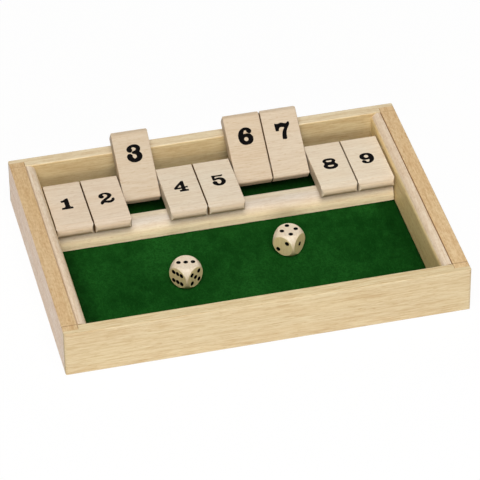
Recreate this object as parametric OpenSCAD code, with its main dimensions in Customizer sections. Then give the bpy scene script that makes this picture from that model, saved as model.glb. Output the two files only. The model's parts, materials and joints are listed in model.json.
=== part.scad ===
// Shut the box: a beech tray with nine hinged number tiles and two wooden dice.
// Millimetres. The origin is the middle of the underside, +X runs towards tile 9,
// +Y towards the rail that raised tiles lean on, and +Z is up.

/* [Tray frame] */
// Length of the tray, along the row of tiles
box_w = 220; // [205:1:260]
// Depth of the tray, from front to back
box_d = 156; // [148:1:200]
// Height of the rails and side boards
box_h = 27; // [25:0.5:34]
// Thickness of the front and back rails
rail_t = 7.5; // [6:0.5:11]
// Thickness of the side boards
board_t = 8.6; // [7:0.2:12]
// What is left of a rail in front of the end of a side board
rail_lip = 3.4; // [2:0.2:4.6]
// Softening of the long wooden edges
edge_r = 0.7; // [0.3:0.1:1.2]
// Rounding of the four upright corners
corner_r = 1.6; // [1:0.1:2.4]

/* [Liners] */
// Thickness of the liner strips that carry the rod
liner_t = 5.6; // [4.5:0.1:8]
// Radius of the liner's inner top edge
liner_round = 4.6; // [2:0.1:5]
// Small arris on the liner's outer top edge, seen as a line beside the board
liner_arris = 0.5; // [0.3:0.1:0.8]

/* [Floor] */
// Thickness of the base panel
base_t = 3; // [2.5:0.1:4]
// How far the base panel laps into the rebate in the frame
base_lap = 3.2; // [2:0.1:3.8]
// Thickness of the felt
felt_t = 1; // [0.6:0.1:1.6]
// Gap between the felt and the wood round it
felt_gap = 0.2; // [0.1:0.05:0.4]

/* [Cross bar] */
// Depth of the bar under the free ends of the tiles
bar_d = 11; // [9:0.2:14]
// Height of the bar above the base panel
bar_h = 10.7; // [9.5:0.1:13]
// Gap between each end of the bar and the liner
bar_end_gap = 0.5; // [0.2:0.1:1]
// Radius of the bar's front top edge
bar_nose_r = 7.5; // [2:0.1:8.2]
// How far a tile's free end stands out past the bar
bar_set_back = 3; // [1:0.2:3.4]

/* [Number tiles] */
// Gap between two tiles
tile_gap = 0.55; // [0.4:0.05:0.8]
// Gap between the row of tiles and a liner
row_end_gap = 0.9; // [0.5:0.1:1.5]
// Length of a tile
tile_l = 41.3; // [38:0.1:43]
// Thickness of a tile
tile_t = 7.5; // [6.5:0.1:8]
// Radius of a tile's free end, seen from the side
free_end_r = 3.4; // [1.5:0.1:3.7]
// Radius of a tile's hinged end, seen from the side
hinge_end_r = 2; // [1:0.1:3.7]
// Radius of the corners of a tile's free end, seen from above
free_corner_r = 1.8; // [0.8:0.1:3]
// Radius of the corners of a tile's hinged end, seen from above
hinge_corner_r = 0.6; // [0.4:0.1:2]
// Softening of a tile's long edges
tile_edge_r = 0.5; // [0.3:0.1:0.8]
// Gap between a tile and what it rests on, for the lacquer
rest_gap = 0.05; // [0.02:0.01:0.1]

/* [Pivot] */
// Diameter of the steel rod
rod_d = 3; // [2.5:0.1:3.5]
// Radial clearance of a tile on the rod
rod_clearance = 0.05; // [0.03:0.01:0.1]
// End gap between the rod and each side board
rod_end_gap = 0.3; // [0.1:0.1:0.6]
// From the rod's axis to the tile's back end
pivot_inset = 8.8; // [7.5:0.1:10]
// From the rod's axis to the inner face of the back rail
pivot_to_rail = 20.7; // [18:0.1:24]

/* [Dice] */
// Distance between opposite faces of a die
die_size = 13.5; // [12:0.1:14.5]
// Diameter of the ball that rounds off a die's corners
die_ball_d = 18; // [16.8:0.1:19]
// Distance of an outer pip's centre from the middle of its face
pip_step = 2.75; // [2.2:0.05:3]
// Diameter of a pip at the face
pip_d = 2.3; // [1.4:0.1:2.5]
// Depth of a pip
pip_depth = 0.5; // [0.3:0.05:0.7]

/* [Hidden] */
$fn = 64;

tiles = 9;
// The numbers of the tiles that stand raised: the others lie down on the bar.
raised_numbers = "367";
tile_names = [for (n = [1:tiles]) str("tile_", n)];

// Inner faces of the frame
rail_face = box_d / 2 - rail_t;
board_face = box_w / 2 - board_t;
liner_face = board_face - liner_t;
board_end = box_d / 2 - rail_lip;

// Floor
felt_top = base_t + felt_t;
base_edge_x = board_face + base_lap;
base_edge_y = rail_face + base_lap;

// Rod and tiles: the tiles share out the width between the liners
tile_w = (2 * (liner_face - row_end_gap) - (tiles - 1) * tile_gap) / tiles;
tile_pitch = tile_w + tile_gap;
bar_top = base_t + bar_h;
pivot_y = rail_face - pivot_to_rail;
pivot_z = bar_top + rest_gap + tile_t / 2;
tile_reach = tile_l - pivot_inset;
bar_front = pivot_y - tile_reach + bar_set_back;
bar_back = bar_front + bar_d;

// A raised tile leans on the rounded inner top edge of the back rail: its mid-plane
// passes the centre of that edge at half the tile's thickness plus the edge's radius.
edge_dy = pivot_to_rail + edge_r;
edge_dz = box_h - edge_r - pivot_z;
lean = atan2(edge_dz, edge_dy) + asin((tile_t / 2 + edge_r + rest_gap) / norm([edge_dy, edge_dz]));
raised_turn = 180 - lean;

// Where the dice lie: middle of each die on the felt, and its turn about the upright
left_die_at = [-32.6, -22.3];
left_die_turn = -54;
right_die_at = [27.8, -8.9];
right_die_turn = -44;

// Cutters run this far past what they cut.
past = 1;

// Wood and felt
rail_wood = [0.87, 0.76, 0.58];
board_wood = [0.83, 0.68, 0.49];
tile_wood = [0.88, 0.80, 0.70];
ply_wood = [0.80, 0.68, 0.50];
felt_green = [0.07, 0.33, 0.11];
steel = [0.72, 0.73, 0.75];

// A rectangle about the origin with its corners rounded to radius r.
module rounded_rect(w, h, r) {
    square([w - 2 * r, h], center = true);
    square([w, h - 2 * r], center = true);
    for (x = [-1, 1], y = [-1, 1])
        translate([x * (w / 2 - r), y * (h / 2 - r)]) circle(r);
}

// A strip of width w from x = -left to x = right, its corners rounded to left_r at
// one end and right_r at the other. The two halves overlap about the origin.
module ended_strip(left, right, w, left_r, right_r) {
    translate([(left_r - left) / 2, 0]) rounded_rect(left + left_r, w, left_r);
    translate([(right - right_r) / 2, 0]) rounded_rect(right + right_r, w, right_r);
}

// A board about the origin: plan radius rz, end-view radius rx and front-view radius ry.
module board(size, rx, ry, rz) {
    intersection() {
        rotate([90, 0, 90]) linear_extrude(size.x, center = true) rounded_rect(size.y, size.z, rx);
        rotate([90, 0, 0]) linear_extrude(size.y + 2 * past, center = true) rounded_rect(size.x, size.z, ry);
        linear_extrude(size.z + 2 * past, center = true) rounded_rect(size.x, size.y, rz);
    }
}

// Everything inside the base panel's edge, for the rebate in the frame round it.
module base_space(drop) {
    translate([-base_edge_x, -base_edge_y, -drop])
        cube([2 * base_edge_x, 2 * base_edge_y, base_t + drop]);
}

// A rail along X whose outer face looks towards side * Y, housed out at its ends
// for the side boards.
module rail(side) {
    difference() {
        translate([0, side * (box_d - rail_t) / 2, box_h / 2])
            board([box_w, rail_t, box_h], edge_r, edge_r, edge_r);
        for (x = [-1, 1]) {
            // housing for the end of a side board
            translate([x * (board_face + board_t / 2 + past / 2), side * (board_end - rail_t / 2), box_h / 2])
                cube([board_t + past, rail_t, box_h + 2 * past], center = true);
            // rounded upright corner
            translate([x * box_w / 2, side * box_d / 2, 0]) mirror([x > 0 ? 1 : 0, 0, 0])
                mirror([0, side > 0 ? 1 : 0, 0]) corner_waste();
        }
        base_space(past);
    }
}

// What is planed off an upright corner whose two faces run along +X and +Y.
module corner_waste() {
    difference() {
        translate([-past, -past, -past]) cube([corner_r + past, corner_r + past, box_h + 2 * past]);
        translate([corner_r, corner_r, -2 * past]) cylinder(h = box_h + 4 * past, r = corner_r);
    }
}

module front_rail() color(rail_wood) rail(-1);
module back_rail() color(rail_wood) rail(1);

// A side board whose outer face looks towards side * X.
module side_board(side) {
    difference() {
        translate([side * (board_face + board_t / 2), 0, box_h / 2])
            rotate([90, 0, 0]) linear_extrude(2 * board_end, center = true)
                rounded_rect(board_t, box_h, edge_r);
        base_space(past);
    }
}

module left_side_board() color(board_wood) side_board(-1);
module right_side_board() color(board_wood) side_board(1);

// Section of a liner, standing on the base panel with its back at x = 0 and its
// rounded inner edge towards +X.
module liner_section() {
    h = box_h - base_t;
    difference() {
        square([liner_t, h]);
        translate([liner_t - liner_round, h - liner_round]) difference() {
            square(liner_round + past);
            circle(liner_round);
        }
        translate([0, h]) rotate(45) square(liner_arris * sqrt(2), center = true);
    }
}

// A liner strip inside a side board, bored for the rod.
module liner(side) {
    difference() {
        translate([side * board_face, 0, base_t]) mirror([side > 0 ? 1 : 0, 0, 0])
            rotate([90, 0, 0]) linear_extrude(2 * rail_face, center = true) liner_section();
        translate([side * (board_face - liner_t / 2), pivot_y, pivot_z]) rotate([0, 90, 0])
            cylinder(h = liner_t + 2 * past, d = rod_d, center = true);
    }
}

module left_liner() color(tile_wood) liner(-1);
module right_liner() color(tile_wood) liner(1);

// The base panel fills the rebate, flush with the underside of the frame.
module base_panel() color(ply_wood) base_space(0);

// A sheet of felt between two distances from front to back.
module felt_sheet(front, back) {
    x = liner_face - felt_gap;
    translate([-x, front + felt_gap, base_t]) cube([2 * x, back - front - 2 * felt_gap, felt_t]);
}

module tray_felt() color(felt_green) felt_sheet(-rail_face, bar_front);
module rear_felt() color(felt_green) felt_sheet(bar_back, rail_face);

// The bar that the free ends of the tiles lie on, with a rounded nose.
module cross_bar() {
    color(tile_wood)
        translate([0, bar_front, base_t]) rotate([90, 0, 90])
            linear_extrude(2 * (liner_face - bar_end_gap), center = true) difference() {
                square([bar_d, bar_h]);
                translate([bar_nose_r, bar_h - bar_nose_r]) difference() {
                    translate([-bar_nose_r - past, 0]) square(bar_nose_r + past);
                    circle(bar_nose_r);
                }
                translate([bar_d - edge_r, bar_h - edge_r]) difference() {
                    square(edge_r + past);
                    circle(edge_r);
                }
            }
}

// The steel rod, gripped by both liners and trapped between the side boards.
module pivot_rod() {
    color(steel)
        translate([0, pivot_y, pivot_z]) rotate([0, 90, 0])
            cylinder(h = 2 * (board_face - rod_end_gap), d = rod_d, center = true);
}

// A tile lying down, drawn about its rod: its free end is well rounded for a finger
// and its hinged end only eased.
module tile_block() {
    difference() {
        intersection() {
            rotate([90, 0, 90]) linear_extrude(tile_w, center = true)
                ended_strip(tile_reach, pivot_inset, tile_t, free_end_r, hinge_end_r);
            translate([0, pivot_inset - tile_l / 2, 0]) rotate([90, 0, 0])
                linear_extrude(tile_l + 2 * past, center = true)
                    rounded_rect(tile_w, tile_t, tile_edge_r);
            rotate(90) linear_extrude(tile_t + 2 * past, center = true)
                ended_strip(tile_reach, pivot_inset, tile_w, free_corner_r, hinge_corner_r);
        }
        rotate([0, 90, 0]) cylinder(h = tile_w + 2 * past, r = rod_d / 2 + rod_clearance, center = true);
    }
}

// Tile n in its place along the rod, raised or lying down.
module tile(n) {
    raised = len(search(str(n), raised_numbers)) > 0;
    color(tile_wood)
        translate([(n - (tiles + 1) / 2) * tile_pitch, pivot_y, pivot_z])
            rotate([raised ? -raised_turn : 0, 0, 0]) tile_block();
}

// Places of the pips of one face, in units of pip_step. The middle row of the
// six runs along x.
function pips(count) = concat(
    count % 2 == 1 ? [[0, 0]] : [],
    count > 1 ? [[-1, -1], [1, 1]] : [],
    count > 3 ? [[-1, 1], [1, -1]] : [],
    count == 6 ? [[0, -1], [0, 1]] : []
);

// Pips of one face, cut by balls that leave a dish pip_d wide and pip_depth deep.
module pip_balls(count) {
    ball_r = (pow(pip_d / 2, 2) + pow(pip_depth, 2)) / (2 * pip_depth);
    for (p = pips(count))
        translate([p.x * pip_step, p.y * pip_step, die_size / 2 + ball_r - pip_depth])
            sphere(ball_r);
}

// A die about its middle. The counts are those of the top, the face towards -Y and
// the face towards +X: opposite faces add up to seven.
module die(top, front, right) {
    color(tile_wood) difference() {
        intersection() {
            cube(die_size, center = true);
            sphere(d = die_ball_d);
        }
        pip_balls(top);
        rotate([180, 0, 0]) pip_balls(7 - top);
        rotate([90, 0, 0]) pip_balls(front);
        rotate([-90, 0, 0]) pip_balls(7 - front);
        rotate([0, 90, 0]) rotate(90) pip_balls(right);
        rotate([0, -90, 0]) rotate(90) pip_balls(7 - right);
    }
}

// Lays a die on the felt.
module on_felt(at, turn) {
    translate([at.x, at.y, felt_top + die_size / 2]) rotate(turn) children();
}

module left_die() on_felt(left_die_at, left_die_turn) die(3, 6, 5);
module right_die() on_felt(right_die_at, right_die_turn) die(4, 2, 1);

front_rail();
back_rail();
left_side_board();
right_side_board();
left_liner();
right_liner();
base_panel();
tray_felt();
rear_felt();
cross_bar();
pivot_rod();
for (n = [1:tiles])
    tile(n);
left_die();
right_die();
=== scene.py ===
"""Dresses a shut the box game: beech frame, felts, nine number tiles and two dice.

Lengths in the properties are metres. Nodes of the solid model keep their shape and get
wood or steel; felts, printed numbers and painted pips are made here.
"""

import json
import math

import bmesh
import bpy
from bpy.props import FloatProperty, FloatVectorProperty, PointerProperty
from mathutils import Matrix, Vector


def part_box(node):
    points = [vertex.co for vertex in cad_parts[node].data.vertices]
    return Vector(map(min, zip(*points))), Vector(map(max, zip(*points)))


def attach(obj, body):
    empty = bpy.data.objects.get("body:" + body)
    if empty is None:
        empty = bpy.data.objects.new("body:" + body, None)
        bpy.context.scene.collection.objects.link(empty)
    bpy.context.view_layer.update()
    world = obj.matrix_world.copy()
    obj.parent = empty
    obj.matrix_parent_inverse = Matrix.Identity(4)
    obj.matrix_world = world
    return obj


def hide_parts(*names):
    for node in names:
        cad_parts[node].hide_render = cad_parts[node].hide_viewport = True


bl_info = {
    "name": "Shut the Box",
    "version": (1, 0, 0),
    "blender": (4, 5, 0),
    "location": "View3D > Sidebar > Shut the Box",
    "description": "Finishes, felts, numbers and studio for a shut the box game",
    "category": "Object",
}

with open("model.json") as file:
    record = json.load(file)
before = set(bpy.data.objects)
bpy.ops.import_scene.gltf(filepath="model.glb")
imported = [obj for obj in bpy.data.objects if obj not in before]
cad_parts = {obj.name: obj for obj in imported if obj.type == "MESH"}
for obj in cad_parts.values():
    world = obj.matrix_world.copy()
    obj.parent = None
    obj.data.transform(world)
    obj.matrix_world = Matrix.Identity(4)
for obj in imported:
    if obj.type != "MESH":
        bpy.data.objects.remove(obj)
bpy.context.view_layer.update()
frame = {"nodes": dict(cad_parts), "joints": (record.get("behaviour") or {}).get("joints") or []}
hinges = {j["child"]: j for j in frame["joints"] if j["name"].endswith("_hinge")}

MM = 0.001
QUARTER = math.pi / 2

# Points of an outline or seam that are closer than this are one point.
SAME_POINT = 0.002 * MM

def tone(red, green, blue):
    """A colour as it looks on a screen, 0 to 255, as linear light."""
    return tuple(
        c / 12.92 if c <= 0.04045 else ((c + 0.055) / 1.055) ** 2.4
        for c in (red / 255, green / 255, blue / 255)
    )


# ---------------------------------------------------------------- sizes and colours


class ShutBoxSizes(bpy.types.PropertyGroup):
    """Sizes of the pieces that are made here."""

    felt_pile: FloatProperty(
        name="Felt pile",
        description="How far the nap of the felts rises and falls",
        default=0.12 * MM,
        min=0,
        max=0.4 * MM,
        subtype="DISTANCE",
    )
    felt_mesh: FloatProperty(
        name="Felt mesh",
        description="Distance between points of the felt sheets",
        default=1.6 * MM,
        min=0.5 * MM,
        max=10 * MM,
        subtype="DISTANCE",
    )
    ink_rise: FloatProperty(
        name="Ink rise",
        description="How far a printed number stands above the wood",
        default=0.02 * MM,
        min=0.005 * MM,
        max=0.04 * MM,
        subtype="DISTANCE",
    )
    upper_number_at: FloatProperty(
        name="Number on the upper face",
        description="From the tile's hinged end to the middle of its number",
        default=19.6 * MM,
        subtype="DISTANCE",
    )
    lower_number_at: FloatProperty(
        name="Number on the lower face",
        description="From the tile's free end to the middle of its number",
        default=14.7 * MM,
        subtype="DISTANCE",
    )
    upper_number_height: FloatProperty(
        name="Number height, upper face",
        description="Height of the numbers on the upper faces",
        default=9.5 * MM,
        subtype="DISTANCE",
    )
    ink_spread: FloatProperty(
        name="Ink spread",
        description="How far the ink ran beyond the drawn outline of a number",
        default=0.13 * MM,
        subtype="DISTANCE",
    )
    lower_number_height: FloatProperty(
        name="Number height, lower face",
        description="Height of the numbers on the lower faces",
        default=9.9 * MM,
        subtype="DISTANCE",
    )
    pip_width: FloatProperty(
        name="Pip width",
        description="Width of a drilled pip at the face of the die",
        default=2.3 * MM,
        subtype="DISTANCE",
    )
    pip_rim: FloatProperty(
        name="Pip rim",
        description="How far the paint ran out round a pip",
        default=0.15 * MM,
        subtype="DISTANCE",
    )
    pip_depth: FloatProperty(
        name="Pip depth",
        description="Depth of a drilled pip",
        default=0.5 * MM,
        subtype="DISTANCE",
    )
    pip_step: FloatProperty(
        name="Pip step",
        description="Distance between rows of pips",
        default=2.75 * MM,
        subtype="DISTANCE",
    )
    left_die_turn: FloatProperty(
        name="Left die's turn",
        description="How far the left die is turned on the felt",
        default=math.radians(-54),
        subtype="ANGLE",
    )
    right_die_turn: FloatProperty(
        name="Right die's turn",
        description="How far the right die is turned on the felt",
        default=math.radians(-44),
        subtype="ANGLE",
    )


class ShutBoxColours(bpy.types.PropertyGroup):
    """Colours of woods, felt, ink and steel."""

    rail: FloatVectorProperty(
        name="Rails",
        description="Beech of the front and back rails",
        default=tone(215, 199, 161),
        subtype="COLOR",
        min=0,
        max=1,
    )
    board: FloatVectorProperty(
        name="Side boards",
        description="Beech of the side boards",
        default=tone(211, 186, 145),
        subtype="COLOR",
        min=0,
        max=1,
    )
    liner: FloatVectorProperty(
        name="Liners",
        description="Beech of the liners",
        default=tone(224, 208, 186),
        subtype="COLOR",
        min=0,
        max=1,
    )
    bar: FloatVectorProperty(
        name="Cross bar",
        description="Beech of the cross bar",
        default=tone(237, 219, 191),
        subtype="COLOR",
        min=0,
        max=1,
    )
    tile: FloatVectorProperty(
        name="Tiles",
        description="Maple-pale beech of the number tiles",
        default=tone(221, 206, 184),
        subtype="COLOR",
        min=0,
        max=1,
    )
    die: FloatVectorProperty(
        name="Dice",
        description="Pale wood of the dice",
        default=tone(221, 208, 187),
        subtype="COLOR",
        min=0,
        max=1,
    )
    plywood: FloatVectorProperty(
        name="Base panel",
        description="Face veneer of the base panel",
        default=tone(204, 172, 128),
        subtype="COLOR",
        min=0,
        max=1,
    )
    felt: FloatVectorProperty(
        name="Felt",
        description="Green of the felts",
        default=tone(20, 74, 22),
        subtype="COLOR",
        min=0,
        max=1,
    )
    ink: FloatVectorProperty(
        name="Ink",
        description="Black of the numbers and pips",
        default=tone(5, 4, 4),
        subtype="COLOR",
        min=0,
        max=1,
    )
    steel: FloatVectorProperty(
        name="Steel",
        description="Bright steel of the rod",
        default=tone(190, 190, 188),
        subtype="COLOR",
        min=0,
        max=1,
    )


class ShutBoxStudio(bpy.types.PropertyGroup):
    """Light and camera."""

    camera_at: FloatVectorProperty(
        name="Camera",
        description="Place of the camera",
        default=(-0.334794, -1.41532, 1.149286),
        subtype="TRANSLATION",
        unit="LENGTH",
    )
    camera_aim: FloatVectorProperty(
        name="Aim",
        description="Point in the middle of the picture",
        default=(0.002319, -0.001611, 0.01),
        precision=4,
        subtype="TRANSLATION",
        unit="LENGTH",
    )
    camera_roll: FloatProperty(
        name="Roll",
        description="Turn of the camera about its line of sight",
        default=math.radians(-0.6326),
        subtype="ANGLE",
    )
    lens: FloatProperty(
        name="Lens",
        description="Focal length in millimetres on a 36 mm sensor",
        default=255.165,
        min=10,
        max=400,
    )
    sky: FloatProperty(
        name="Sky",
        description="Strength of the even light from all round",
        default=0.18,
        min=0,
        max=2,
    )
    sky_colour: FloatVectorProperty(
        name="Sky colour",
        description="Warmth of the even light, as bounced by a wooden table",
        default=(1.0, 0.91, 0.78),
        subtype="COLOR",
        min=0,
        max=1,
    )
    key_lamp: FloatProperty(
        name="Key lamp",
        description="Power of the broad lamp high in front",
        default=30.0,
        min=0,
        max=100,
        unit="POWER",
    )
    low_lamp: FloatProperty(
        name="Low lamp",
        description="Power of the lamp low in front",
        default=10.0,
        min=0,
        max=100,
        unit="POWER",
    )
    floor_shadow: FloatProperty(
        name="Floor shadow",
        description="Share of the floor's own shading that a camera sees",
        default=0.05,
        min=0,
        max=1,
        subtype="FACTOR",
    )


# ---------------------------------------------------------------- shader sums


class Wire:
    """An output in a node tree, on which Python's arithmetic adds Math nodes."""

    def __init__(self, tree, socket=None):
        self.tree = tree
        self.socket = socket

    def node(self, kind, inputs=None, output=0, **settings):
        """Adds a node: its settings first, then the values or wires of its inputs."""
        made = self.tree.nodes.new("ShaderNode" + kind)
        for name, value in settings.items():
            setattr(made, name, value)
        for key, value in (inputs or {}).items():
            if isinstance(key, int):
                socket = made.inputs[key]
            else:
                socket = next(s for s in made.inputs if s.enabled and s.name == key)
            if isinstance(value, Wire):
                self.tree.links.new(value.socket, socket)
            elif socket.type == "RGBA" and len(value) == 3:
                socket.default_value = (*value, 1)
            else:
                socket.default_value = value
        outputs = [s for s in made.outputs if s.enabled]
        if isinstance(output, str):
            outputs = [s for s in outputs if s.name == output]
            output = 0
        return Wire(self.tree, outputs[output] if outputs else None)

    def sum(self, operation, a, b=None, clamp=False):
        """A Math node on one or two numbers or wires."""
        inputs = {0: a} if b is None else {0: a, 1: b}
        return self.node("Math", inputs, operation=operation, use_clamp=clamp)

    def __add__(self, other):
        return self.sum("ADD", self, other)

    __radd__ = __add__

    def __sub__(self, other):
        return self.sum("SUBTRACT", self, other)

    def __rsub__(self, other):
        return self.sum("SUBTRACT", other, self)

    def __mul__(self, other):
        return self.sum("MULTIPLY", self, other)

    __rmul__ = __mul__

    def __truediv__(self, other):
        return self.sum("DIVIDE", self, other)

    def step(self, low, high):
        """0 below low, 1 above high, smooth between."""
        return self.node(
            "MapRange",
            {"Value": self, "From Min": low, "From Max": high},
            interpolation_type="SMOOTHSTEP",
        )

    def part(self, axis):
        """The X, Y or Z of this vector."""
        return self.node("SeparateXYZ", {"Vector": self}, output=axis)

    def stretch(self, x, y, z):
        """This vector with its X, Y and Z multiplied."""
        return self.node("VectorMath", {0: self, 1: (x, y, z)}, operation="MULTIPLY")

    def mix(self, a, b, blend="MIX"):
        """Colours a and b mixed by this wire."""
        return self.node(
            "Mix",
            {"Factor": self, "A": a, "B": b},
            data_type="RGBA",
            blend_type=blend,
        )


def new_finish(name):
    """An empty material and the wire that starts its tree."""
    material = bpy.data.materials.new(name)
    material.use_nodes = True
    material.node_tree.nodes.clear()
    return material, Wire(material.node_tree)


def close_finish(w, shader):
    """Ends a material's tree."""
    w.node("OutputMaterial", {"Surface": shader})


def in_millimetres(w, centre=(0, 0, 0), turn=(0, 0, 0), long=1):
    """Object coordinates in millimetres about a centre, drawn out along X by long."""
    return w.node(
        "Mapping",
        {
            "Vector": w.node("TexCoord", output="Object"),
            "Location": centre,
            "Rotation": turn,
            "Scale": (long * MM, MM, MM),
        },
        vector_type="TEXTURE",
    )


def scaled(colour, red, green=None, blue=None):
    """A colour with its red, green and blue multiplied, or all three by red."""
    green = red if green is None else green
    blue = red if blue is None else blue
    return (
        min(1, colour[0] * red),
        min(1, colour[1] * green),
        min(1, colour[2] * blue),
    )


# The axes along the grain, across it and up from it.
GRAIN = {"X": (0, 1, 2), "Y": (1, 0, 2), "Z": (2, 1, 0)}

# Cosines of the angle to a direction at which its painted light and shade start and are full.
SHARE_STARTS, SHARE_FULL = 0.55, 0.98

# How soft the edge of a line of glue is, in millimetres.
GLUE_EDGE = 0.2

# How far apart two seeds lie in the noise, so that no two boards look alike.
SEED_STRIDE = 7.31


def wood(
    name,
    colour,
    grain,
    seed,
    heart,
    ring,
    ring_depth,
    streak=0.4,
    mottle=0.1,
    fleck=0.3,
    blush=0.5,
    ends=0.3,
    centre=(0, 0, 0),
    turn=(0, 0, 0),
    gloss=0.42,
    coat=0.0,
    faces=(),
    joints=(),
):
    """Beech with its grain along one axis.

    Heart is where the middle of the tree lies across the grain and up from it, in
    metres, and ring is the width of a year's growth in millimetres. Ring depth, streak,
    mottle, fleck, blush and ends are how strongly each of those shows. Gloss is the
    roughness of the smoothest spots. Faces are painted light and shade by which way a
    face points: each is a direction, the share of red, green and blue left on faces
    that point that way and, if not the usual cosine at which it starts, the least
    cosine of the angle to it that counts. Joints are lines of glue: an axis, where the
    line starts and ends on it, in millimetres, and how dark it is.
    """
    material, w = new_finish(name)
    along, across, up = GRAIN[grain]
    local = in_millimetres(w, centre, turn)

    def lumps(size, times, shift, detail=2.0, rough=0.5):
        """Soft noise whose lumps are size millimetres wide and times as long."""
        scale = [1.0, 1.0, 1.0]
        scale[along] = 1 / times
        return w.node(
            "TexNoise",
            {
                "Vector": local.stretch(*scale),
                "W": seed * SEED_STRIDE + shift,
                "Scale": 1 / size,
                "Detail": detail,
                "Roughness": rough,
            },
            noise_dimensions="4D",
        )

    # Years of growth round the heart, bent by slow waves.
    slow = lumps(16, 5, 1.0, 1.0)
    ripple = lumps(2.6, 6, 2.0)
    side, rise = (
        local.part("XYZ"[axis]) - at / MM
        for axis, at in ((across, heart[0]), (up, heart[1]))
    )
    radius = w.sum("SQRT", side * side + rise * rise)
    year = w.sum("FRACT", (radius + slow * 9.0 + ripple * 1.3) / ring)
    late = year.step(0.35, 0.93) * (1 - year.step(0.93, 1.0))

    # Long wavy streaks, finer ones, mottling and short dark rays.
    streaks = lumps(0.7, 20, 4.0, 1.0, 0.5).step(0.46, 0.64)
    fine = lumps(0.45, 16, 5.0, 2.0, 0.6)
    mottles = lumps(1.3, 1.7, 8.0, 2.0, 0.6).step(0.38, 0.64)
    rays = lumps(0.45, 6, 6.0, 1.0, 0.5).step(0.60, 0.72)
    depth = (
        streaks * (streak * 0.5)
        + fine.step(0.36, 0.64) * (streak * 0.5)
        + mottles * mottle
        + rays * fleck
        + late * ring_depth
    )

    # Broad bands and clouds, from a pink cast to a yellow one.
    band = lumps(9, 7, 3.0).step(0.36, 0.66)
    cloud = lumps(30, 2, 7.0, 1.0).step(0.3, 0.7)
    base = (band * blush).mix(
        scaled(colour, 1.10, 1.12, 1.13), scaled(colour, 1.06, 1.0, 0.92)
    )
    base = (cloud * (blush * 0.6)).mix(base, scaled(colour, 1.06, 1.01, 1.02))
    base = depth.mix(base, scaled(colour, 0.72, 0.56, 0.40))

    # Dark sawn ends, lines of glue, and painted light and shade by which way a face points.
    normal = w.node("TexCoord", output="Normal")
    if ends:
        sawn = w.sum("ABSOLUTE", normal.part("XYZ"[along])).step(0.55, 0.95)
        base = (sawn * ends).mix(base, scaled(colour, 0.26, 0.16, 0.06))
    for axis, low, high, dark in joints:
        place = local.part(axis)
        shade = (place - low).step(0.0, GLUE_EDGE) * (high - place).step(0.0, GLUE_EDGE)
        base = (shade * dark).mix(base, scaled(colour, 0.35, 0.22, 0.12))
    for way, share, *near in faces:
        facing = w.node(
            "VectorMath", {0: normal, 1: way}, output="Value", operation="DOT_PRODUCT"
        )
        starts = near[0] if near else SHARE_STARTS
        base = facing.step(starts, SHARE_FULL).mix(base, share, "MULTIPLY")

    bump = w.node(
        "Bump",
        {
            "Strength": 0.4,
            "Distance": 0.03 * MM,
            "Height": fine * 0.6 + streaks * 0.2 - rays * 0.7,
        },
    )
    shader = w.node(
        "BsdfPrincipled",
        {
            "Base Color": base,
            "Roughness": gloss + 0.10 * streaks + 0.12 * rays,
            "Specular IOR Level": 0.25,
            "Normal": bump,
            "Coat Weight": coat,
            "Coat Roughness": 0.25,
        },
    )
    close_finish(w, shader)
    return material


def felt_finish(name, colour, low, high, margins, patches):
    """Pressed green felt: clouds where the nap is brushed, and fine fibres.

    Beside the walls the felt is painted darker, as shade: the wall shade gives how wide
    that is at the left, right, front and back, in millimetres, with the share of green
    left at the wall. Patches are soft spots of lighter felt: x, y and reach in
    millimetres, and how much lighter it is in the middle, darker where below 0.
    """
    material, w = new_finish(name)
    local = in_millimetres(w)

    def noise(size, detail, rough, vector=local, distort=0.0):
        """Soft noise whose lumps are size millimetres wide."""
        return w.node(
            "TexNoise",
            {
                "Vector": vector,
                "Scale": 1 / size,
                "Detail": detail,
                "Roughness": rough,
                "Distortion": distort,
            },
        )

    clouds = noise(19, 3.0, 0.6, distort=0.6).step(0.36, 0.66)
    naps = noise(5, 3.0, 0.6, local.stretch(1.0, 0.6, 1.0), 0.5).step(0.34, 0.68)
    grain = noise(1.1, 2.0, 0.7)
    fibres = noise(0.35, 2.0, 0.7, local.stretch(1.0, 0.16, 1.0), 1.2)
    dark = scaled(colour, 0.45, 0.62, 0.50)
    light = scaled(colour, 1.60, 1.36, 1.50)
    lift = clouds * 0.40 + naps * 0.38
    for x, y, reach, more in patches:
        away = w.node(
            "VectorMath",
            {0: local, 1: (x, y, high.z / MM)},
            output="Value",
            operation="DISTANCE",
        )
        lift = lift + (1 - away.step(0.2 * reach, reach)) * more
    base = lift.mix(dark, light)
    base = (grain.step(0.40, 0.62) * 0.6).mix(base, scaled(dark, 0.9))
    base = (fibres.step(0.50, 0.66) * 0.4).mix(base, scaled(light, 1.25))
    # Painted shade: the felt is darker beside the four walls.
    for axis, wall, inward, (margin, share) in (
        ("X", low.x, 1, margins[0]),
        ("X", high.x, -1, margins[1]),
        ("Y", low.y, 1, margins[2]),
        ("Y", high.y, -1, margins[3]),
    ):
        reach = (local.part(axis) - wall / MM) * inward + naps * (margin * 0.2)
        base = (1 - reach.step(0.3 * margin, 1.1 * margin)).mix(
            base, (share * 0.9, share, share * 0.95), "MULTIPLY"
        )
    height = fibres * 0.6 + grain * 0.5
    bump = w.node("Bump", {"Strength": 0.6, "Distance": 0.12 * MM, "Height": height})
    shader = w.node(
        "BsdfPrincipled",
        {
            "Base Color": base,
            "Roughness": 0.95,
            "Specular IOR Level": 0.03,
            "Normal": bump,
        },
    )
    close_finish(w, shader)
    return material


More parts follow.
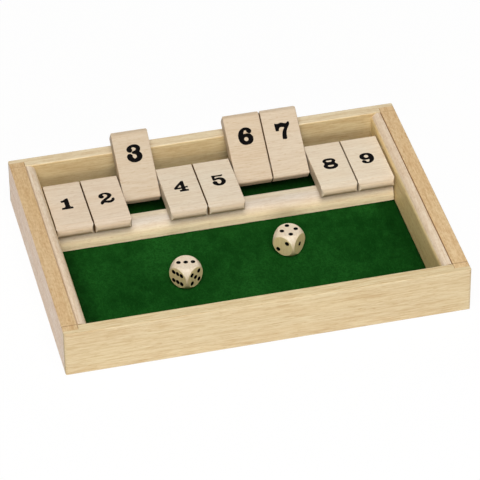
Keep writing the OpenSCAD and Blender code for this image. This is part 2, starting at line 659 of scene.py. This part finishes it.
def ink_finish(name, colour, gloss):
    """Black ink or lacquer, a little uneven where it sank into the wood."""
    material, w = new_finish(name)
    local = in_millimetres(w)
    long_way = local.stretch(0.12, 1.0, 1.0)
    pores = w.node("TexNoise", {"Vector": long_way, "Scale": 4.0, "Detail": 2.0})
    blotch = w.node("TexNoise", {"Vector": local, "Scale": 0.9, "Detail": 2.0})
    base = (pores.step(0.52, 0.75) * 0.5).mix(colour, scaled(colour, 2.2))
    bump = w.node("Bump", {"Strength": 0.3, "Distance": 0.01 * MM, "Height": pores})
    shader = w.node(
        "BsdfPrincipled",
        {
            "Base Color": base,
            "Roughness": gloss + 0.15 * blotch,
            "Specular IOR Level": 0.03,
            "Normal": bump,
        },
    )
    close_finish(w, shader)
    return material


def steel_finish(name, colour):
    """Drawn steel rod, marked along its length."""
    material, w = new_finish(name)
    drawn = w.node(
        "TexNoise",
        {"Vector": in_millimetres(w, long=8), "Scale": 3.0, "Detail": 3.0},
    )
    shader = w.node(
        "BsdfPrincipled",
        {
            "Base Color": drawn.mix(scaled(colour, 0.8), colour),
            "Metallic": 1.0,
            "Roughness": 0.22 + 0.15 * drawn,
        },
    )
    close_finish(w, shader)
    return material


def give(node, material):
    """Puts a finish on a node of the solid model."""
    for part in frame["nodes"][node].material_slots:
        part.material = material


def new_piece(name, mesh, material, body):
    """A piece made here, at the origin, with its place in its mesh."""
    piece = bpy.data.objects.new(name, mesh)
    bpy.context.scene.collection.objects.link(piece)
    mesh.materials.clear()
    mesh.materials.append(material)
    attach(piece, body)
    return piece


def bm_to_mesh(bm, name, smooth=True):
    """Makes a mesh of a bmesh and frees it."""
    mesh = bpy.data.meshes.new(name)
    bm.to_mesh(mesh)
    bm.free()
    for face in mesh.polygons:
        face.use_smooth = smooth
    return mesh


# ---------------------------------------------------------------- numbers

# Outlines of the nine numbers: x and y of each point in hundredths of the
# number's height, from its lower left. A point is a curve's unless it ends in 1,
# which makes it a corner. The first outline is the outside, the rest are holes.
NUMBERS = {
    1: [
        [(42, 100, 1), (48, 99, 1), (49, 60), (49, 27), (53, 19), (63, 16, 1),
         (65, 8), (63, 1, 1), (1, 1, 1), (0, 8), (2, 16, 1), (16, 18), (23, 26),
         (23.5, 48), (23.5, 69, 1), (9, 67, 1), (5, 74), (5, 81, 1), (21, 86),
         (34, 96)],
    ],
    2: [
        [(3, 0), (0, 8), (8, 27), (28, 46), (46, 62), (51, 75), (44, 87),
         (33, 91), (23, 87), (21, 81), (26, 71), (23, 60), (13, 56), (2, 63),
         (0, 77), (10, 93), (33, 101), (59, 95), (72, 77), (64, 58), (47, 43),
         (26, 28, 1), (41, 25), (56, 24), (67, 30), (73, 43), (79, 44),
         (82, 36), (76, 19), (61, 8), (46, 6), (29, 11), (19, 11), (12, 4),
         (9, 0)],
    ],
    3: [
        [(5, 79), (18, 94), (49, 101), (74, 91), (79, 75), (71, 56, 1),
         (78, 49), (83, 34), (74, 11), (42, -1), (13, 8), (0, 29), (3, 43),
         (16, 49), (28, 41), (29, 29), (42, 18), (55, 31), (47, 46), (34, 50),
         (31, 56), (36, 61), (49, 65), (57, 75), (50, 85), (37, 88), (30, 81),
         (33, 70), (20, 59), (6, 68)],
    ],
    4: [
        [(53, 99, 1), (62, 99, 1), (63, 94), (63, 45, 1), (67, 43), (80, 45, 1),
         (79, 32, 1), (67, 33), (63, 28, 1), (63, 22), (67, 16), (80, 14, 1),
         (79, 1, 1), (29, 1, 1), (29, 14, 1), (39, 16), (44, 20), (44, 27, 1),
         (6, 27, 1), (0, 34), (3, 41)],
        [(42, 66, 1), (20, 40, 1), (44, 41, 1)],
    ],
    5: [
        [(5, 98, 1), (13, 98), (36, 97), (55, 97), (68, 100, 1), (66, 91),
         (58, 86, 1), (22, 86), (19, 82), (19, 69, 1), (38, 74), (61, 69),
         (74, 49), (73, 27), (61, 10), (37, 1), (14, 8), (0, 28), (3, 41),
         (14, 45), (24, 39), (25, 28), (35, 17), (48, 24), (53, 39), (49, 53),
         (38, 59), (24, 57), (14, 53, 1), (6, 55, 1), (6, 76)],
    ],
    6: [
        [(0, 45), (5, 71), (23, 93), (46, 100), (68, 93), (78, 79), (71, 66),
         (59, 68), (53, 75), (49, 84), (40, 85), (32, 74), (30, 61, 1),
         (44, 63), (63, 62), (77, 50), (81, 33), (71, 10), (40, 0), (11, 11)],
        [(41, 46), (28, 32), (41, 18), (55, 32)],
    ],
    7: [
        [(0, 97, 1), (10, 94), (21, 94), (36, 98), (52, 93), (67, 91),
         (80, 99), (83, 91), (75, 73), (62, 52), (55, 28), (54, 2, 1),
         (44, 0), (31, 2, 1), (34, 28), (42, 51), (54, 69, 1), (40, 74),
         (23, 71), (18, 62), (17, 52, 1), (1, 53, 1), (0, 75)],
    ],
    8: [
        [(41, 101), (70, 94), (79, 76), (72, 58), (84, 33), (72, 10),
         (42, 0), (11, 10), (0, 32), (11, 57), (4, 76), (13, 93)],
        [(42, 84), (25, 82.5), (24, 75), (31, 68), (42, 66.5), (53, 68),
         (59, 75), (58, 82.5)],
        [(42, 38), (25, 36.5), (23, 29), (31, 22), (42, 20.5), (54, 22),
         (61, 29), (59, 36.5)],
    ],
}
NUMBERS[9] = [
    [(81 - p[0], 100 - p[1], *p[2:]) for p in line] for line in NUMBERS[6]
]

# How far each number was printed from its tile's middle line and from its usual
# place, towards the higher numbers and towards the hinge, and how much further than
# usual its ink ran, in millimetres.
PRINT_SHIFT = {
    1: (-0.5, 0.0, 0.0), 2: (0.72, -0.4, 0.1), 3: (0.5, -0.1, 0.06),
    4: (-0.15, -0.15, 0.03), 5: (0.25, 0.1, 0.05), 6: (0.3, -0.2, 0.04),
    7: (0.7, -0.1, 0.05), 8: (0.1, -0.6, 0.0), 9: (0.13, -0.65, -0.08),
}


def number_mesh(number, height, spread, thickness):
    """A flat printed number about its own middle, facing +Z, as a bmesh."""
    curve = bpy.data.curves.new(f"number_{number}", "CURVE")
    curve.dimensions = "2D"
    curve.fill_mode = "BOTH"
    curve.resolution_u = 6
    outside = NUMBERS[number][0]
    middle_x = (min(p[0] for p in outside) + max(p[0] for p in outside)) / 2
    for outline in NUMBERS[number]:
        line = curve.splines.new("BEZIER")
        line.bezier_points.add(len(outline) - 1)
        line.use_cyclic_u = True
        for point, place in zip(line.bezier_points, outline):
            kind = "VECTOR" if len(place) == 3 else "AUTO"
            point.co = (
                (place[0] - middle_x) * height / 100,
                (place[1] - 50) * height / 100,
                0,
            )
            point.handle_left_type = kind
            point.handle_right_type = kind
    curve.extrude = thickness / 2
    drawn = bpy.data.objects.new("drawn", curve)
    bpy.context.scene.collection.objects.link(drawn)
    bpy.context.view_layer.update()
    flat = bpy.data.meshes.new_from_object(
        drawn.evaluated_get(bpy.context.evaluated_depsgraph_get())
    )
    bpy.data.objects.remove(drawn)
    bpy.data.curves.remove(curve)
    bm = bmesh.new()
    bm.from_mesh(flat)
    bpy.data.meshes.remove(flat)
    bmesh.ops.remove_doubles(bm, verts=bm.verts, dist=SAME_POINT)
    bmesh.ops.recalc_face_normals(bm, faces=bm.faces)
    bm.normal_update()
    for vert in bm.verts:
        vert.co += vert.normal.xy.normalized().to_3d() * spread
    return bm


def tile_matrix(name):
    """From a shut tile's own axes, about the rod, to where the tile rests.

    A raised tile can only turn back, so its hinge starts below 0 by its whole turn.
    """
    hinge = hinges[name]
    return Matrix.Translation(hinge["pos_m"]) @ Matrix.Rotation(
        math.radians(hinge["range_deg"][0]), 4, "X"
    )


# ---------------------------------------------------------------- operators


class SHUTBOX_OT_studio(bpy.types.Operator):
    """Sets the floor, the light and the camera"""

    bl_idname = "shut_box.studio"
    bl_label = "Studio"
    bl_options = {"REGISTER", "UNDO"}

    # The floor lies just under the tray, so that no two faces share a plane.
    FLOOR_DROP = 0.1 * MM
    FLOOR_WIDTH = 12
    # How far the lamps are from the tray, and how far round to the left.
    LAMP_AWAY = 1.8
    LAMP_LEFT = math.radians(10)

    def execute(self, context):
        scene = context.scene
        studio = scene.shut_box_studio
        scene.view_settings.view_transform = "Standard"

        world = bpy.data.worlds.new("studio")
        scene.world = world
        world.use_nodes = True
        world.node_tree.nodes.clear()
        w = Wire(world.node_tree)
        seen = self.seen(w)
        sky = {"Color": tuple(studio.sky_colour), "Strength": studio.sky}
        even = w.node("Background", sky)
        white = w.node("Background", {"Color": (1, 1, 1), "Strength": 1.0})
        w.node(
            "OutputWorld",
            {"Surface": w.node("MixShader", {0: seen, 1: even, 2: white})},
        )

        bm = bmesh.new()
        bmesh.ops.create_grid(bm, x_segments=8, y_segments=8, size=self.FLOOR_WIDTH / 2)
        bmesh.ops.translate(bm, vec=(0, 0, -self.FLOOR_DROP), verts=bm.verts)
        floor = bpy.data.objects.new("floor", bm_to_mesh(bm, "floor"))
        scene.collection.objects.link(floor)
        material, w = new_finish("floor_white")
        ground = w.node(
            "BsdfPrincipled",
            {
                "Base Color": (0.92, 0.92, 0.92),
                "Roughness": 1.0,
                "Specular IOR Level": 0.0,
            },
        )
        glow = w.node("Emission", {"Color": (1, 1, 1), "Strength": 1.0})
        shown = self.seen(w) * (1 - studio.floor_shadow)
        close_finish(w, w.node("MixShader", {0: shown, 1: ground, 2: glow}))
        floor.data.materials.append(material)

        self.lamp(context, "key_lamp", studio.key_lamp, elevation=60, width=1.4)
        self.lamp(context, "low_lamp", studio.low_lamp, elevation=16, width=0.6)

        camera = bpy.data.cameras.new("camera")
        camera.lens = studio.lens
        camera.sensor_width = 36
        camera.clip_start = 0.05
        camera.clip_end = 50
        eye = bpy.data.objects.new("camera", camera)
        scene.collection.objects.link(eye)
        place = Vector(studio.camera_at)
        gaze = Vector(studio.camera_aim) - place
        turned = gaze.to_track_quat("-Z", "Y").to_matrix().to_4x4()
        eye.matrix_world = (
            Matrix.Translation(place)
            @ turned
            @ Matrix.Rotation(studio.camera_roll, 4, "Z")
        )
        scene.camera = eye
        return {"FINISHED"}

    def seen(self, w):
        """1 for rays that show the background: from the camera, in gloss or in glass."""
        camera = w.node("LightPath", output="Is Camera Ray")
        glossy = w.node("LightPath", output="Is Glossy Ray")
        through = w.node("LightPath", output="Is Transmission Ray")
        return w.sum("ADD", camera, glossy + through, clamp=True)

    def lamp(self, context, name, power, elevation, width):
        """A round soft lamp in front of the tray, elevation degrees up."""
        light = bpy.data.lights.new(name, "AREA")
        light.shape = "DISK"
        light.size = width
        light.energy = power
        lamp = bpy.data.objects.new(name, light)
        context.scene.collection.objects.link(lamp)
        lamp.matrix_world = (
            Matrix.Rotation(-self.LAMP_LEFT, 4, "Z")
            @ Matrix.Rotation(math.radians(90 - elevation), 4, "X")
            @ Matrix.Translation((0, 0, self.LAMP_AWAY))
        )


class SHUTBOX_OT_box_frame(bpy.types.Operator):
    """Gives the rails and the side boards their beech"""

    bl_idname = "shut_box.box_frame"
    bl_label = "Rails and Side Boards"
    bl_options = {"REGISTER", "UNDO"}

    def execute(self, context):
        colours = context.scene.shut_box_colours
        give(
            "front_rail",
            wood(
                "front_rail_beech",
                colours.rail,
                "X",
                seed=1.0,
                heart=(-0.19, 0.035),
                ring=3.6,
                ring_depth=0.12,
                streak=0.6,
                mottle=0.04,
                # Painted shade: the front face and its upper arris are darker.
                faces=[
                    ((0, -1, 0), (0.83, 0.82, 0.83)),
                    ((0, -0.7, 0.7), (0.86, 0.85, 0.86), 0.85),
                ],
            ),
        )
        give(
            "back_rail",
            wood(
                "back_rail_beech",
                # Painted shade: the whole rail is darker and warmer, and its top is made lighter
                # and bluer again, so that the shade stays on its other faces.
                scaled(colours.rail, 0.94, 0.89, 0.80),
                "X",
                seed=2.0,
                heart=(0.17, 0.05),
                ring=4.2,
                ring_depth=0.2,
                streak=0.5,
                mottle=0.1,
                faces=[((0, 0, 1), (1.17, 1.27, 1.58))],
            ),
        )
        for side, seed, lift, heart, faces, glue in (
            (
                "left",
                3.0,
                0.99,
                (0.02, -0.16),
                # Painted reflection: the outer face is lighter and bluer, a pale veil of the
                # white backdrop.
                [((-1, 0, 0), (1.31, 1.44, 2.05))],
                [],
            ),
            ("right", 4.0, 1.07, (-0.03, -0.16), [], [("X", 101.0, 101.8, 0.7)]),
        ):
            give(
                f"{side}_side_board",
                wood(
                    f"{side}_board_beech",
                    scaled(colours.board, lift),
                    "Y",
                    seed=seed,
                    heart=heart,
                    ring=3.0,
                    ring_depth=0.12,
                    streak=0.4,
                    mottle=0.3,
                    fleck=0.5,
                    blush=0.8,
                    faces=faces,
                    joints=[
                        ("Y", -71, -70.2, 0.6),
                        ("Y", 70.2, 71, 0.25),
                        *glue,
                    ],
                ),
            )
        return {"FINISHED"}


class SHUTBOX_OT_inner_frame(bpy.types.Operator):
    """Gives the liners, cross bar and base panel their wood"""

    bl_idname = "shut_box.inner_frame"
    bl_label = "Liners, Cross Bar and Base"
    bl_options = {"REGISTER", "UNDO"}

    def execute(self, context):
        colours = context.scene.shut_box_colours
        for side, seed, inward, glue in (
            ("left", 5.0, 1, 0.4),
            ("right", 6.0, -1, 0.9),
        ):
            give(
                f"{side}_liner",
                wood(
                    f"{side}_liner_beech",
                    colours.liner,
                    "Y",
                    seed=seed,
                    heart=(0.3, 0.02),
                    ring=2.6,
                    ring_depth=0.12,
                    mottle=0.2,
                    # Painted light and shade: the inner face is lighter and yellower.
                    faces=[((inward, 0, 0), (1.24, 1.19, 0.80), 0.8)],
                    joints=[
                        ("Y", -71, -70.25, 0.5),
                        ("X", *sorted((-101.8 * inward, -100.9 * inward)), glue),
                    ],
                ),
            )
        give(
            "cross_bar",
            wood(
                "cross_bar_beech",
                colours.bar,
                "X",
                seed=7.0,
                heart=(0.02, -0.2),
                ring=3.4,
                ring_depth=0.12,
                streak=0.3,
                blush=0.2,
                gloss=0.6,
                # Painted light and shade: the top and the nose are darker, the front yellower.
                faces=[
                    ((0, 0, 1), (0.81, 0.85, 0.88)),
                    ((0, -0.6, 0.8), (0.85, 0.86, 0.95), 0.75),
                    ((0, -1, 0), (1.02, 1.0, 0.90)),
                ],
            ),
        )
        give(
            "base_panel",
            wood(
                "base_plywood",
                colours.plywood,
                "X",
                seed=8.0,
                heart=(0.02, -0.03),
                ring=3.0,
                ring_depth=0.12,
                streak=0.5,
                gloss=0.6,
            ),
        )
        return {"FINISHED"}


class SHUTBOX_OT_felts(bpy.types.Operator):
    """Lays the two sheets of felt"""

    bl_idname = "shut_box.felts"
    bl_label = "Felts"
    bl_options = {"REGISTER", "UNDO"}

    # Each sheet: its node, its share of the green, which on the rear sheet is painted
    # shade of the well behind the bar, and its wall shade and patches as felt_finish has them.
    SHEETS = (
        (
            "tray_felt",
            (1, 1, 1),
            ((15, 0.5), (20, 0.68), (3, 0.75), (2, 0.95)),
            (
                (0, -38, 30, 0.45),
                (-38, 5, 22, 0.45),
                (-80, -4, 18, 0.30),
                (-66, -24, 18, -0.15),
                (45, -34, 28, 0.20),
                (68, -8, 26, -0.30),
                (79, 18, 12, 0.45),
            ),
        ),
        (
            "rear_felt",
            (0.85, 0.7, 0.7),
            ((4, 0.5), (4, 0.5), (3, 0.5), (8, 0.5)),
            (),
        ),
    )
    # The cut edges lie this much deeper than the nap, and the sheet is this much
    # thinner than the room for it.
    EDGE_DROP = 0.25 * MM
    SLACK = 0.3 * MM

    def execute(self, context):
        sizes = context.scene.shut_box_sizes
        green = context.scene.shut_box_colours.felt
        for node, share, margins, patches in self.SHEETS:
            low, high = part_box(node)
            finish = felt_finish(
                node + "_green", scaled(green, *share), low, high, margins, patches
            )
            size = high - low
            bm = bmesh.new()
            bmesh.ops.create_grid(
                bm,
                x_segments=round(size.x / sizes.felt_mesh),
                y_segments=round(size.y / sizes.felt_mesh),
                size=0.5,
                matrix=Matrix.Translation(
                    ((low.x + high.x) / 2, (low.y + high.y) / 2, high.z)
                )
                @ Matrix.Diagonal((size.x, size.y, 1, 1)),
            )
            for vert in bm.verts:
                vert.co.z -= self.nap(vert.co, sizes.felt_pile)
                edge = min(
                    vert.co.x - low.x,
                    high.x - vert.co.x,
                    vert.co.y - low.y,
                    high.y - vert.co.y,
                )
                if edge < SAME_POINT:
                    vert.co.z -= self.EDGE_DROP
            mesh = bm_to_mesh(bm, node + "_sheet")
            piece = new_piece(node + "_sheet", mesh, finish, "tray")
            thick = piece.modifiers.new("thickness", "SOLIDIFY")
            thick.thickness = size.z - self.SLACK
            thick.offset = -1
            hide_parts(node)
        return {"FINISHED"}

    def nap(self, at, pile):
        """How far the felt dips at a point: long waves and small ones."""
        wave = math.sin(at.x * 410 + 1.3 * math.sin(at.y * 260)) * math.sin(
            at.y * 370 + 1.1 * math.sin(at.x * 190)
        )
        small = math.sin(at.x * 2100 + at.y * 900) * math.sin(at.y * 2500 - at.x * 700)
        return pile * (0.5 + 0.3 * wave + 0.2 * small)


class SHUTBOX_OT_rod(bpy.types.Operator):
    """Gives the rod its steel"""

    bl_idname = "shut_box.rod"
    bl_label = "Rod"
    bl_options = {"REGISTER", "UNDO"}

    def execute(self, context):
        steel = context.scene.shut_box_colours.steel
        give("pivot_rod", steel_finish("steel", steel))
        return {"FINISHED"}


class SHUTBOX_OT_tiles(bpy.types.Operator):
    """Gives each of the nine tiles its own piece of pale wood"""

    bl_idname = "shut_box.tiles"
    bl_label = "Tiles"
    bl_options = {"REGISTER", "UNDO"}

    # How much of the common red, green and blue each tile has, from 1 to 9: partly
    # each tile's own tone, partly painted light that grows brighter towards tile 9.
    SHADES = (
        (0.96, 0.95, 0.96),
        (0.98, 0.97, 0.98),
        (0.95, 0.94, 0.92),
        (0.98, 1.00, 1.02),
        (0.99, 1.02, 1.05),
        (0.99, 0.97, 0.94),
        (1.02, 1.03, 1.04),
        (1.03, 1.05, 1.06),
        (1.05, 1.08, 1.10),
    )
    # How dark the sawn sides of each tile are: end grain, and painted shade in the
    # narrow gaps between the tiles.
    SAWN = (1.0, 1.0, 0.36, 0.2, 1.0, 0.3, 0.9, 0.38, 0.6)
    # Painted shade: the share of colour left on the free end and on the edge under it,
    # which are darker on the tiles that rest shut.
    RAISED_END, RAISED_EDGE = (0.99, 0.96, 0.92), (1.0, 1.0, 1.0)
    SHUT_END, SHUT_EDGE = (0.88, 0.82, 0.75), (0.55, 0.50, 0.42)

    def execute(self, context):
        colour = context.scene.shut_box_colours.tile
        for number, name in enumerate(sorted(hinges), 1):
            turned = tile_matrix(name).to_3x3()
            free_end, under_edge = self.RAISED_END, self.RAISED_EDGE
            if turned.is_identity:
                free_end, under_edge = self.SHUT_END, self.SHUT_EDGE
            give(
                name,
                wood(
                    f"{name}_wood",
                    scaled(colour, *self.SHADES[number - 1]),
                    "X",
                    seed=10.0 + number,
                    heart=(0.1 + 0.01 * number, -0.15),
                    ring=2.4,
                    ring_depth=0.06,
                    streak=0.3,
                    mottle=0.05,
                    fleck=0.3,
                    blush=0.35,
                    ends=self.SAWN[number - 1],
                    gloss=0.5,
                    coat=0.05,
                    # Painted shade by which way a face points: the lower face, both ends and the
                    # free end's upper arris are darker, and on shut tiles so is the edge under
                    # the free end.
                    faces=[
                        (turned @ Vector(way), *share)
                        for way, *share in (
                            ((0, 0, -1), (0.775, 0.752, 0.725)),
                            ((0, -1, 0), free_end),
                            ((0, 1, 0), (0.84, 0.77, 0.70)),
                            ((0, -0.64, 0.77), (0.82, 0.81, 0.80), 0.85),
                            ((0, -0.77, -0.64), under_edge, 0.7),
                        )
                    ],
                ),
            )
        return {"FINISHED"}


class SHUTBOX_OT_numbers(bpy.types.Operator):
    """Prints each tile's number on both of its broad faces"""

    bl_idname = "shut_box.numbers"
    bl_label = "Numbers"
    bl_options = {"REGISTER", "UNDO"}

    def execute(self, context):
        sizes = context.scene.shut_box_sizes
        finish = ink_finish("number_ink", context.scene.shut_box_colours.ink, 0.5)
        for number, name in enumerate(sorted(hinges), 1):
            place = tile_matrix(name)
            # The tile's points about its rod, in its own axes.
            back = place.inverted()
            points = [back @ v.co for v in frame["nodes"][name].data.vertices]
            hinge_end = max(point.y for point in points)
            free_end = min(point.y for point in points)
            face = max(point.z for point in points)
            aside, inward, more = (mm * MM for mm in PRINT_SHIFT[number])
            skin = 2 * sizes.ink_rise
            for side, height, at in (
                (
                    "upper",
                    sizes.upper_number_height,
                    Matrix.Translation(
                        (aside, hinge_end - sizes.upper_number_at + inward, face)
                    ),
                ),
                (
                    "lower",
                    sizes.lower_number_height,
                    Matrix.Translation(
                        (aside, free_end + sizes.lower_number_at + inward, -face)
                    )
                    @ Matrix.Rotation(math.pi, 4, "X"),
                ),
            ):
                bm = number_mesh(number, height, sizes.ink_spread + more, skin)
                bmesh.ops.transform(bm, matrix=place @ at, verts=bm.verts)
                new_piece(
                    f"{name}_number_{side}",
                    bm_to_mesh(bm, f"{name}_number_{side}", smooth=False),
                    finish,
                    name,
                )
        return {"FINISHED"}


class SHUTBOX_OT_dice(bpy.types.Operator):
    """Gives the dice their wood and paints their pips"""

    bl_idname = "shut_box.dice"
    bl_label = "Dice"
    bl_options = {"REGISTER", "UNDO"}

    # Pips of each count on a face, in steps from its middle.
    PIPS = {
        1: [(0, 0)],
        2: [(-1, -1), (1, 1)],
        3: [(-1, -1), (0, 0), (1, 1)],
        4: [(-1, -1), (1, 1), (-1, 1), (1, -1)],
        5: [(-1, -1), (1, 1), (-1, 1), (1, -1), (0, 0)],
        6: [(-1, -1), (1, 1), (-1, 1), (1, -1), (0, -1), (0, 1)],
    }
    # Painted shade: the share of colour left on the four side faces, which are yellower,
    # and on all that points down, which is browner and darker.
    SIDE_SHARE = (1.0, 0.98, 0.75)
    DOWN_SHARE = (0.98, 0.87, 0.55)
    # The paint lies clear of the dish by this, and is this thick.
    PAINT_GAP = 0.015 * MM
    PAINT_THICK = 0.03 * MM
    # The bowl of paint ends this far below the face, and its lip rises this far.
    BOWL_DROP = 0.004 * MM
    LIP_RISE = 0.02 * MM

    def execute(self, context):
        scene = context.scene
        sizes = scene.shut_box_sizes
        colours = scene.shut_box_colours
        paint = ink_finish("pip_paint", scaled(colours.ink, 0.8), 0.12)
        for name, turn, shown in (
            ("left_die", sizes.left_die_turn, (3, 6, 5)),
            ("right_die", sizes.right_die_turn, (4, 2, 1)),
        ):
            low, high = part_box(name)
            middle = (low + high) / 2
            half = (high.z - low.z) / 2
            give(
                name,
                wood(
                    name + "_wood",
                    colours.die,
                    "Z",
                    seed=20.0 + turn,
                    heart=(0.05, 0.03),
                    ring=2.2,
                    ring_depth=0.1,
                    streak=0.25,
                    mottle=0.1,
                    ends=0.0,
                    faces=[
                        (
                            Matrix.Rotation(turn + side * QUARTER, 3, "Z").col[0],
                            self.SIDE_SHARE,
                            0.6,
                        )
                        for side in (0, 1, 2, -1)
                    ]
                    + [((0, 0, -1), self.DOWN_SHARE, -0.6)],
                    centre=middle,
                    turn=(0, 0, turn),
                    gloss=0.36,
                ),
            )
            spun = Matrix.Translation(middle) @ Matrix.Rotation(turn, 4, "Z")
            top, front, right = shown
            upright = Matrix.Rotation(QUARTER, 4, "Z")
            bm = bmesh.new()
            # Opposite faces add up to seven.
            for count, facing in (
                (top, Matrix.Identity(4)),
                (7 - top, Matrix.Rotation(math.pi, 4, "X")),
                (front, Matrix.Rotation(QUARTER, 4, "X")),
                (7 - front, Matrix.Rotation(-QUARTER, 4, "X")),
                (right, Matrix.Rotation(QUARTER, 4, "Y") @ upright),
                (7 - right, Matrix.Rotation(-QUARTER, 4, "Y") @ upright),
            ):
                for x, y in self.PIPS[count]:
                    self.paint_pip(
                        bm,
                        sizes,
                        spun
                        @ facing
                        @ Matrix.Translation(
                            (x * sizes.pip_step, y * sizes.pip_step, half)
                        ),
                    )
            new_piece(
                name + "_pips",
                bm_to_mesh(bm, name + "_pips"),
                paint,
                name,
            )
        return {"FINISHED"}

    def paint_pip(self, bm, sizes, place):
        """A thin bowl of paint in one drilled dish; place puts +Z out of the face."""
        depth = sizes.pip_depth
        ball = ((sizes.pip_width / 2) ** 2 + depth**2) / (2 * depth)
        cup = bmesh.new()
        bmesh.ops.create_uvsphere(
            cup,
            u_segments=32,
            v_segments=40,
            radius=ball - self.PAINT_GAP,
            matrix=Matrix.Translation((0, 0, ball - depth)),
        )
        bmesh.ops.bisect_plane(
            cup,
            geom=cup.verts[:] + cup.edges[:] + cup.faces[:],
            plane_co=(0, 0, -self.BOWL_DROP),
            plane_no=(0, 0, 1),
            clear_outer=True,
        )
        lip = bmesh.ops.extrude_edge_only(
            cup, edges=[edge for edge in cup.edges if edge.is_boundary]
        )["geom"]
        lip = [v for v in lip if isinstance(v, bmesh.types.BMVert)]
        spread = 1 + 2 * sizes.pip_rim / sizes.pip_width
        bmesh.ops.scale(cup, vec=(spread, spread, 1), verts=lip)
        bmesh.ops.translate(cup, vec=(0, 0, self.LIP_RISE), verts=lip)
        bmesh.ops.reverse_faces(cup, faces=cup.faces)
        bmesh.ops.solidify(cup, geom=cup.faces, thickness=-self.PAINT_THICK)
        bmesh.ops.recalc_face_normals(cup, faces=cup.faces)
        bmesh.ops.transform(cup, matrix=place, verts=cup.verts)
        part = bpy.data.meshes.new("pip")
        cup.to_mesh(part)
        cup.free()
        bm.from_mesh(part)
        bpy.data.meshes.remove(part)


# ---------------------------------------------------------------- panel and run

OPERATORS = (
    SHUTBOX_OT_box_frame,
    SHUTBOX_OT_inner_frame,
    SHUTBOX_OT_felts,
    SHUTBOX_OT_rod,
    SHUTBOX_OT_tiles,
    SHUTBOX_OT_numbers,
    SHUTBOX_OT_dice,
    SHUTBOX_OT_studio,
)


class SHUTBOX_PT_parts(bpy.types.Panel):
    """Lists the steps, and the sizes and colours that they use"""

    bl_idname = "SHUTBOX_PT_parts"
    bl_label = "Shut the Box"
    bl_space_type = "VIEW_3D"
    bl_region_type = "UI"
    bl_category = "Shut the Box"

    def draw(self, context):
        for operator in OPERATORS:
            self.layout.operator(operator.bl_idname)
        for group in (
            context.scene.shut_box_sizes,
            context.scene.shut_box_colours,
            context.scene.shut_box_studio,
        ):
            box = self.layout.box()
            for name in group.__annotations__:
                box.prop(group, name)


CLASSES = (
    ShutBoxSizes,
    ShutBoxColours,
    ShutBoxStudio,
    *OPERATORS,
    SHUTBOX_PT_parts,
)


def register():
    for cls in CLASSES:
        bpy.utils.register_class(cls)
    bpy.types.Scene.shut_box_sizes = PointerProperty(type=ShutBoxSizes)
    bpy.types.Scene.shut_box_colours = PointerProperty(type=ShutBoxColours)
    bpy.types.Scene.shut_box_studio = PointerProperty(type=ShutBoxStudio)


def unregister():
    del bpy.types.Scene.shut_box_studio
    del bpy.types.Scene.shut_box_colours
    del bpy.types.Scene.shut_box_sizes
    for cls in reversed(CLASSES):
        bpy.utils.unregister_class(cls)


def main():
    """Runs every step in order."""
    register()
    for operator in OPERATORS:
        group, name = operator.bl_idname.split(".")
        if getattr(getattr(bpy.ops, group), name)() != {"FINISHED"}:
            raise RuntimeError(operator.bl_label + " did not finish")


if __name__ == "__main__":
    main()
